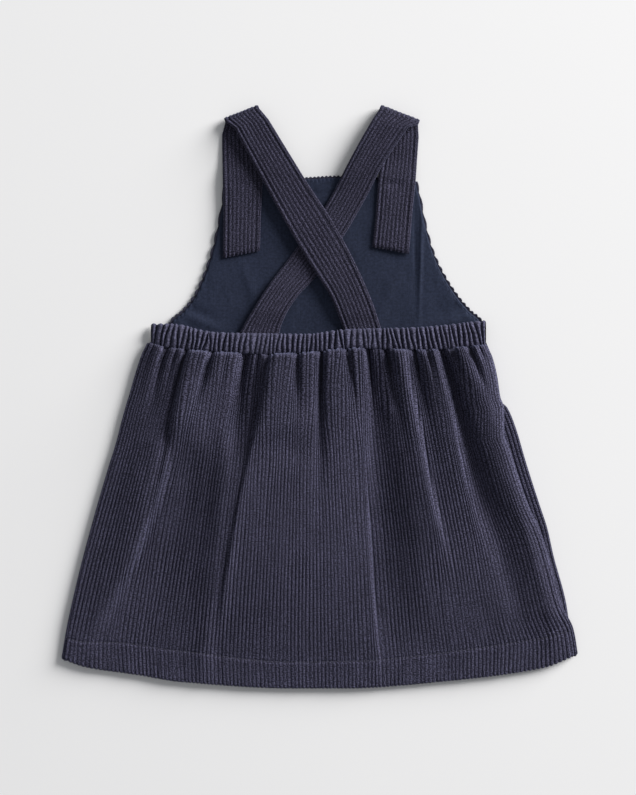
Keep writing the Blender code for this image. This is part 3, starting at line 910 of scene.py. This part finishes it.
def make_lining(cotton):
    """The bib's cotton lining, creased, with its edge rolled and dimpled over the wales' ends."""
    x, y, wales = bib_surface(LINING_INSET, LINING_SCALLOP, 61)
    below = y[0][None, :] - y
    lift = soft_spots(LINING_WRINKLES, x, y)
    lift = lift + LINING_WAVES * drift2(31, x / 11.0, y / 17.0)
    lift = lift + LINING_CREASES * drift2(32, x / 4.0, y / 7.0)
    dimple = DIMPLE * bell((below - 1.6) / 0.8) * groove(wales)[None, :]
    roll = EDGE_DROP * (1 - smooth(0, 1.1, below))
    outer = grid_of(x, y, LINING_TOP + lift * smooth(0, 6, below) - dimple - roll)
    inner = grid_of(x, y, LINING_TOP - LINING)
    coords = grid_of(x, y)
    return closed_wall("bib_lining_cloth", outer, inner, coords, (5, 5), [cotton, cotton])


# Straps


def read_run(rows, steps):
    """A strap run's edge points and heights at even steps, on smooth curves through its rows."""
    at = np.linspace(0, 1, steps + 1)
    keys = np.linspace(0, 1, len(rows))
    return np.stack([curve(keys, column(rows, name), at) for name in Station._fields], axis=1)


def shoulder_rows(shoulder, floor, steps):
    """A strap's stations round its fold, from the front run over to the back run."""
    outer = np.array([shoulder.outer_x, shoulder.outer_y])
    inner = np.array([shoulder.inner_x, shoulder.inner_y])
    across = outer - inner
    outward = unit(np.array([abs(across[1]) * math.copysign(1, across[0]), abs(across[0])]))
    turn = np.linspace(-math.pi / 2, math.pi / 2, steps + 1)
    shift = (shoulder.radius * (np.cos(turn) - 1) - STRAP_THICKNESS / 2)[:, None] * outward
    z = floor + shoulder.radius * (1 + np.sin(turn))
    return np.column_stack([outer + shift, inner + shift, z])


def strap_stations(front, shoulder, back):
    """A strap's stations: up its front run, over the shoulder and down its back run."""
    fold = shoulder_rows(shoulder, front[-1].z, 14)
    return np.concatenate([read_run(front, 46)[:-1], fold, read_run(back, 76)[1:]])


def strap_section(wales, half_width):
    """Round a strap of that half width: how far across and up each wale lies, and its outward."""
    radius = STRAP_THICKNESS / 2
    straight = 2 * (half_width - radius)
    bend = math.pi * radius
    at = wales / STRAP_WALES * 2 * (straight + bend) + bend / 2
    half, past = np.divmod(at, straight + bend)
    turn = np.minimum(past / radius, math.pi)
    facing = np.where(half % 2 == 1, 1.0, -1.0)
    out = facing * np.sin(turn), facing * np.cos(turn)
    slide = np.maximum(past - bend, 0) - straight / 2
    return out[0] * radius - facing * slide, out[1] * radius, out


def make_strap(name, stations, cloth, seed, pucker):
    """A strap's flat tube along its stations, with scalloped ends and a caught-down pucker."""
    outer, inner = stations[:, [0, 1, 4]], stations[:, [2, 3, 4]]
    centre = (outer + inner) / 2
    width = np.linalg.norm(inner - outer, axis=1, keepdims=True)
    across = (inner - outer) / width
    tangent = np.gradient(centre, axis=0)
    normal = unit(np.cross(across, tangent))
    if normal[2, 2] < 0:
        normal = -normal
    along = run_length(centre)[:, None]
    wales = wale_columns(0, STRAP_WALES)
    from_middle, up, out = strap_section(wales[:-1], width / 2)
    near_end = 1 - smooth(0, END_REACH, np.minimum(along, along[-1] - along))
    valley = groove(wales[:-1] + 0.5)
    edge = bell((np.abs(from_middle) - width / 2 + STRAP_EDGE) / 0.7)
    end_line = 1 - smooth(0, 2.4, np.abs(along - STRAP_EDGE))
    depth = STRAP_RELIEF * valley + END_LINE * end_line + STRAP_LINE * edge
    caught = (along - pucker.along) / pucker.reach, (from_middle - pucker.across) / PUCKER_WIDTH
    sag = STRAP_SAG * drift2(seed, from_middle / 14.0, along / 22.0)
    sag = sag - pucker.depth * np.exp(-(caught[0] ** 2) - caught[1] ** 2)
    off = from_middle - out[0] * depth
    lift = up * (1 - END_PINCH * near_end) - out[1] * depth + sag
    scallop = END_SCALLOP * (1 - valley) * near_end
    outward = unit(tangent) * np.where(along > along[-1] / 2, 1, -1)
    rings = centre[:, None, :]
    for size, direction in ((off, across), (lift, normal), (scallop, outward)):
        rings = rings + size[:, :, None] * direction[:, None, :]
    return tube(name, rings, grid_of(wales[None, :] + 0.5, along), [cloth])


# The waistband


def casing_ribs(seed):
    """Rib edges along the casing, uneven in pitch, how far each leans and how deep each is."""
    rng = np.random.default_rng(seed)
    left, right = CASING_TOP[0].x, CASING_TOP[-1].x
    edges = [left]
    while edges[-1] < right - 1.6 * RIB:
        edges.append(edges[-1] + RIB * rng.uniform(*RIB_PITCHES))
    edges.append(right)
    edges = np.array(edges)
    lean = rng.normal(0, RIB_LEAN, len(edges)) + OUTWARD_LEAN * (edges / right)
    depth = rng.uniform(*RIB_DEPTHS, len(edges))
    return edges, lean, depth


def make_casing(cloth):
    """The elastic casing: rings along its line, with uneven leaning ribs drawn in between."""
    edges, lean, depth = casing_ribs(8)
    numbers = np.arange(len(edges))
    ribs = np.arange(numbers[-1] * RIB_STEPS + 1) / RIB_STEPS
    line = np.interp(ribs, numbers, edges)[:, None]
    low, high = at_x(WAIST_SEAM, line), at_x(CASING_TOP, line)
    end = np.minimum(line - line[0], line[-1] - line)
    rounded = 0.25 + 0.75 * np.sqrt(1 - (1 - np.minimum(end / 3.0, 1)) ** 2)
    angles = np.linspace(0, 2 * math.pi, CASING_SIDES + 1)[:-1] - math.pi
    out = np.stack([-np.cos(angles), np.sin(angles)])
    to_side, up = np.sign(out) * np.abs(out) ** np.array([[0.72], [0.9]])

    # Two stretches of the ribs are quieter, and all are shallower along the casing's edges
    stretches = np.exp(-(((line + 52) / 20) ** 4)) + np.exp(-(((line - 36) / 17) ** 4))
    quiet = 1 - QUIETER * stretches
    deep = np.interp(ribs - 0.5, numbers, depth)[:, None] * quiet
    ribs = ribs[:, None]
    relief = RIB_DEPTH * deep * (1 - np.abs(np.sin(np.pi * ribs)))
    relief = relief * (1 - 0.25 * smooth(0.6, 1.0, np.abs(to_side)))
    shift = 0.5 * drift2(45, ribs * 0.6, to_side * 1.4) - curve(numbers, lean, ribs) * to_side
    x = line + shift * smooth(0, 8, end)
    y = (low + high) / 2 + to_side * ((high - low) / 2 - 0.3) - 0.60 * out[0] * relief
    z = at_x(CASING_LAYERS, line) + up * CASING_HALF * rounded - out[1] * relief
    rings = grid_of(x, y, z + 0.25 * drift2(44, ribs * 0.8, to_side * 2.2))
    around = np.linspace(0, CASING_AROUND, CASING_SIDES + 1)[None, :]
    return tube("waistband_casing", rings, grid_of(ribs, around), [cloth])


# Stitches


def make_stitches(name, path, thread):
    """Thread stitches along a path of points, each a short rounded bar, as one joined mesh."""
    run = run_length(path)
    along = np.array([0.0, 0.12, 0.5, 0.88, 1.0]) * STITCH
    fat = np.array([0.35, 0.9, 1.0, 0.9, 0.35])[:, None, None]
    arch = np.array([-0.5, 0.3, 0.6, 0.3, -0.5])[:, None, None]
    corners = 6
    turns = np.arange(corners)[None, :, None] / corners * 2 * math.pi
    bars = []
    for start in np.arange(0, run[-1] - STITCH, STITCH + STITCH_GAP):
        centre = np.stack([np.interp(start + along, run, path[:, k]) for k in range(3)], axis=1)
        forward = unit(centre[-1] - centre[0])
        across = unit(np.cross(forward, [0.0, 0.0, 1.0]))
        up = np.cross(across, forward)
        ring = np.cos(turns) * across + np.sin(turns) * up
        bars.append(centre[:, None, :] + (ring * fat + arch * up) * STITCH_RADIUS)
    far = np.array([(0, 1, 2, 3), (0, 3, 4, 5)])
    ends = [far[:, ::-1], far + (len(along) - 1) * corners]
    bar = np.concatenate([ring_quads(len(along), corners)[0], *ends])
    faces = np.concatenate([bar + k * len(along) * corners for k in range(len(bars))])
    points = np.concatenate(bars).reshape(-1, 3)
    return build_mesh(name, points, [(faces, faces, 0)], np.zeros((len(points), 2)), [thread])


def make_hem_stitches(thread):
    """The row of topstitches that holds the turned-up hem, laid on the back skirt's surface."""
    x = np.linspace(-214, 214, 500)
    y = at_x(HEM, x) + at_x(HEM_DEPTH, x)
    wales = np.arange(2, SKIRT_WALES - 1) + 0.5
    grid = back_skirt_surface(wales, np.linspace(0.86, 0.96, 60)).reshape(-1, 3)
    nearest = [np.hypot(grid[:, 0] - at_x, grid[:, 1] - at_y).argmin() for at_x, at_y in zip(x, y)]
    z = np.convolve(np.pad(grid[nearest, 2], 4, mode="edge"), np.ones(9) / 9, mode="valid")
    return make_stitches("hem_topstitch", np.stack([x, y, z + STITCH_RADIUS / 2], axis=1), thread)


# Materials


class Nodes:
    """Short calls for building one material's node tree."""

    def __init__(self, name):
        self.material = bpy.data.materials.new(name)
        self.material.use_nodes = True
        self.tree = self.material.node_tree
        self.shader = self.tree.nodes["Principled BSDF"]

    def put(self, socket, value):
        """Link a socket to another's output, or set its own value."""
        if isinstance(value, bpy.types.NodeSocket):
            self.tree.links.new(value, socket)
        else:
            socket.default_value = value

    def cloth(self, colour, rough, gloss=0.5):
        """The shader's colour, roughness and specular level."""
        self.put(self.shader.inputs["Base Color"], colour)
        self.put(self.shader.inputs["Roughness"], rough)
        self.shader.inputs["Specular IOR Level"].default_value = gloss

    def sheen(self, weight, rough, tint):
        """The light that the pile catches at a low angle."""
        self.shader.inputs["Sheen Weight"].default_value = weight
        self.shader.inputs["Sheen Roughness"].default_value = rough
        self.shader.inputs["Sheen Tint"].default_value = rgb(*tint)

    def add(self, kind, inputs=(), output=0, **settings):
        node = self.tree.nodes.new(kind)
        for key, value in settings.items():
            setattr(node, key, value)
        for key, value in dict(inputs).items():
            self.put(node.inputs[key], value)
        return node.outputs[output]

    def math(self, operation, a, b=0.0):
        return self.add("ShaderNodeMath", {0: a, 1: b}, operation=operation)

    def span(self, value, low, high, to_low, to_high, kind="LINEAR"):
        inputs = {0: value, 1: low, 2: high, 3: to_low, 4: to_high}
        return self.add("ShaderNodeMapRange", inputs, interpolation_type=kind)

    def vary(self, shade, value, low, high, to_low, to_high, kind="LINEAR"):
        """A shade multiplied by a value's span."""
        return self.math("MULTIPLY", shade, self.span(value, low, high, to_low, to_high, kind))

    def blend(self, part, first, second, kind="MIX"):
        inputs = {0: part, 6: first, 7: second}
        return self.add("ShaderNodeMix", inputs, 2, data_type="RGBA", blend_type=kind)

    def shaded(self, colour, shade):
        """A colour multiplied by a shade."""
        return self.blend(1.0, rgb(*colour), self.combine(shade, shade), "MULTIPLY")

    def combine(self, x, y):
        """A vector of these two, with the second one again as its third part."""
        return self.add("ShaderNodeCombineXYZ", {0: x, 1: y, 2: y})

    def coordinates(self):
        """The mesh's own two: on corduroy the wale's number and how far along it a point lies."""
        split = self.tree.nodes.new("ShaderNodeSeparateXYZ")
        self.put(split.inputs[0], self.add("ShaderNodeUVMap", uv_map="wales"))
        return split.outputs[0], split.outputs[1]

    def noise(self, vector, scale, detail, rough):
        inputs = {"Vector": vector, "Scale": scale, "Detail": detail, "Roughness": rough}
        return self.add("ShaderNodeTexNoise", inputs)

    def drawn_noise(self, x, y, x_rate, y_rate, detail, rough):
        """Noise in two coordinates, with its own rate along each."""
        parts = {0: self.math("MULTIPLY", x, x_rate), 1: self.math("MULTIPLY", y, y_rate)}
        return self.noise(self.add("ShaderNodeCombineXYZ", parts), 1.0, detail, rough)

    def cloud(self, scale, detail, rough):
        """Noise by the place on the object itself."""
        return self.noise(self.add("ShaderNodeTexCoord", output=3), scale, detail, rough)

    def bump(self, height, strength, distance):
        inputs = {"Height": height, "Strength": strength, "Distance": distance}
        self.put(self.shader.inputs["Normal"], self.add("ShaderNodeBump", inputs))


def rgb(red, green, blue):
    return (red, green, blue, 1.0)


def corduroy(name, crest, valley, fleck=0.62):
    """Wide-wale corduroy: flecked pile on the wales, a painted highlight along each crest, and
    grooves darkened by painted shade (partly their darker ground weave) that fades in random
    patches.
    """
    nodes = Nodes(name)
    wale, along = nodes.coordinates()
    from_middle = nodes.math("SUBTRACT", nodes.math("FRACT", wale), 0.5)
    off_crest = nodes.math("MULTIPLY", nodes.math("ABSOLUTE", from_middle), 2.0)
    pile = nodes.drawn_noise(wale, along, 3.4, 0.92, 0.0, 0.5)
    tuft = nodes.drawn_noise(wale, along, 1.3, 0.30, 2.0, 0.6)
    run = nodes.drawn_noise(nodes.math("FLOOR", wale), along, 1.0, 0.045, 1.0, 0.5)
    groove_fade = nodes.drawn_noise(wale, along, 0.22, 0.03, 3.0, 0.6)
    # Painted shade in the grooves, partly their darker ground weave: a mask from crest to groove
    # that fades in random patches
    groove_shade = nodes.span(off_crest, 0.64, 0.97, 0.0, 1.0, "SMOOTHSTEP")
    groove_shade = nodes.vary(groove_shade, groove_fade, 0.36, 0.56, 0.40, 1.0, "SMOOTHSTEP")
    shade = nodes.span(pile, 0.42, 0.58, 1 - fleck, 1 + fleck)
    shade = nodes.vary(shade, tuft, 0.35, 0.65, 0.82, 1.18)
    shade = nodes.vary(shade, run, 0.3, 0.7, 0.88, 1.12)
    # Painted highlight: each wale's crest lighter and its flanks a little darker
    shade = nodes.vary(shade, off_crest, 0.05, 0.55, 1.22, 0.94, "SMOOTHSTEP")
    shade = nodes.vary(shade, nodes.cloud(24.0, 3.0, 0.55), 0.3, 0.7, 0.92, 1.08)
    # The grooves take the valley colour, which is partly painted shade
    colour = nodes.blend(groove_shade, nodes.shaded(crest, shade), rgb(*valley))
    nodes.cloth(colour, nodes.span(pile, 0.3, 0.7, 0.94, 0.78), gloss=0.10)
    nodes.sheen(0.25, 0.45, (0.45, 0.50, 0.85))
    nodes.bump(pile, 1.0, 0.35 * UNIT)
    return nodes.material


def plain_weave(name, colour, warp, weft, streak=0.12):
    """Plain cotton: fine threads over and under, with slubs and faint streaks up and down."""
    nodes = Nodes(name)
    x, y = nodes.coordinates()
    across = nodes.math("SINE", nodes.math("MULTIPLY", x, math.tau * warp))
    up = nodes.math("SINE", nodes.math("MULTIPLY", y, math.tau * weft))
    weave = nodes.math("MULTIPLY", across, up)
    streaks = nodes.drawn_noise(x, y, 1.7, 0.04, 3.0, 0.6)
    slubs = nodes.drawn_noise(x, y, 0.10, 1.6, 2.0, 0.5)
    flecks = nodes.drawn_noise(x, y, 0.42, 0.50, 2.0, 0.7)
    shade = nodes.span(streaks, 0.3, 0.7, 1 - streak, 1 + streak)
    shade = nodes.vary(shade, flecks, 0.38, 0.62, 0.80, 1.20)
    shade = nodes.vary(shade, slubs, 0.3, 0.7, 0.95, 1.05)
    shade = nodes.vary(shade, nodes.cloud(18.0, 3.0, 0.5), 0.3, 0.7, 0.93, 1.07)
    shade = nodes.vary(shade, weave, -1.0, 1.0, 0.90, 1.08)
    nodes.cloth(nodes.shaded(colour, shade), nodes.span(streaks, 0.3, 0.7, 0.86, 0.72), gloss=0.12)
    nodes.sheen(0.10, 0.5, (0.45, 0.58, 0.95))
    threads, slack = nodes.math("MULTIPLY", weave, 0.35), nodes.math("MULTIPLY", streaks, 0.6)
    nodes.bump(nodes.math("ADD", threads, slack), 0.4, 0.25 * UNIT)
    return nodes.material


def sewing_thread(name, colour):
    """Matt spun thread with a faint twist."""
    nodes = Nodes(name)
    twist = nodes.cloud(2600.0, 1.0, 0.5)
    shade = nodes.span(twist, 0.3, 0.7, 0.8, 1.2)
    nodes.cloth(nodes.shaded(colour, shade), 0.7)
    nodes.bump(twist, 0.3, 0.1 * UNIT)
    return nodes.material


def paper(name):
    """The plain pale floor, matt with the faintest unevenness."""
    nodes = Nodes(name)
    darker, lighter = rgb(0.856, 0.859, 0.872), rgb(0.876, 0.877, 0.888)
    colour = nodes.blend(nodes.cloud(3.0, 2.0, 0.5), darker, lighter)
    nodes.cloth(colour, 0.9, gloss=0.1)
    return nodes.material


# Floor, light and camera


def make_floor():
    """A plain pale floor just under the dress."""
    half, level = 6.0, CAD_LOW[2] - 0.2 * UNIT
    corners = ((-half, -half), (half, -half), (half, half), (-half, half))
    mesh = bpy.data.meshes.new("floor")
    mesh.from_pydata([(x, y, level) for x, y in corners], [], [(0, 1, 2, 3)])
    mesh.materials.append(paper("pale_paper"))
    floor = bpy.data.objects.new("floor", mesh)
    bpy.context.scene.collection.objects.link(floor)
    floor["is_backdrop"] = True


def make_light(name, azimuth, elevation, distance, size, watts, colour):
    """A soft area light, aimed at the dress; azimuth is from +X towards +Y, in degrees."""
    lamp = bpy.data.lights.new(name, "AREA")
    lamp.shape = "DISK"
    lamp.size = size
    lamp.energy = watts
    lamp.color = colour
    light = bpy.data.objects.new(name, lamp)
    a, e = math.radians(azimuth), math.radians(elevation)
    towards = np.array([math.cos(a) * math.cos(e), math.sin(a) * math.cos(e), math.sin(e)])
    light.location = MIDDLE + towards * distance
    light.rotation_mode = "QUATERNION"
    light.rotation_quaternion = (-light.location.copy()).to_track_quat("-Z", "Y")
    bpy.context.scene.collection.objects.link(light)


def make_world(strength):
    """The studio's even, faintly cool light from all round."""
    world = bpy.data.worlds.new("studio")
    world.use_nodes = True
    background = world.node_tree.nodes["Background"]
    background.inputs["Color"].default_value = rgb(0.96, 0.98, 1.0)
    background.inputs["Strength"].default_value = strength
    bpy.context.scene.world = world


def make_camera():
    """Straight above the dress through a long lens, with the photograph's margins round it."""
    view_height, lens, sensor = 675.75, 110.0, 36.0
    off_x, off_y = -1.275, -0.85
    camera = bpy.data.cameras.new("camera")
    camera.lens = lens
    camera.sensor_width = sensor
    holder = bpy.data.objects.new("camera", camera)
    holder.location = place((off_x, off_y, view_height * lens / sensor))
    bpy.context.scene.collection.objects.link(holder)
    bpy.context.scene.camera = holder


def declare(piece, node):
    """Hang a sheet of cloth on the root body and hide the model part that it stands for."""
    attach(piece, "root")
    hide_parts(node)


def main():
    bpy.context.scene.view_settings.view_transform = "Standard"

    # Each corduroy's second colour is its grooves' colour: partly painted shade, partly the darker
    # ground weave
    skirt_cord = corduroy("skirt_cord", (0.040, 0.0387, 0.0655), (0.010, 0.0096, 0.0175))
    strap_cord = corduroy("strap_cord", (0.032, 0.0306, 0.052), (0.008, 0.0076, 0.0145), 0.58)
    band_cord = corduroy("band_cord", (0.056, 0.055, 0.091), (0.009, 0.0085, 0.016), 0.36)
    # The bib's corduroy is a darker copy of the skirt's: painted shade on its cut edge where it
    # shows round the lining
    shaded_bib_cord = corduroy("shaded_bib_cord", (0.021, 0.020, 0.036), (0.006, 0.006, 0.011))
    reverse = plain_weave("corduroy_reverse", (0.030, 0.029, 0.048), 4.0, 1.1)
    cotton = plain_weave("lining_cotton", (0.0182, 0.0238, 0.0465), 1.3, 1.3)
    thread = sewing_thread("navy_thread", (0.031, 0.030, 0.054))

    back = make_back_skirt(skirt_cord, reverse)
    front = make_front_skirt(skirt_cord, reverse)
    bib = make_bib(shaded_bib_cord, reverse)
    lining = make_lining(cotton)
    left_run = strap_stations(LEFT_FRONT_RUN, LEFT_SHOULDER, LEFT_BACK_RUN)
    right_run = strap_stations(RIGHT_FRONT_RUN, RIGHT_SHOULDER, RIGHT_BACK_RUN)
    left = make_strap("strap_left_cloth", left_run, strap_cord, 61, LEFT_PUCKER)
    right = make_strap("strap_right_cloth", right_run, strap_cord, 62, RIGHT_PUCKER)
    casing = make_casing(band_cord)
    hem = make_hem_stitches(thread)

    declare(front, "skirt_front")
    declare(back, "skirt_back")
    declare(bib, "bib_front")
    declare(lining, "bib_lining")
    declare(left, "strap_left")
    declare(right, "strap_right")
    declare(casing, "waistband_back")
    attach(hem, "root")

    make_floor()
    make_light("key", 34, 19, 8.0, 5.0, 1450, (1.0, 0.985, 0.965))
    make_world(0.30)
    make_camera()


main()
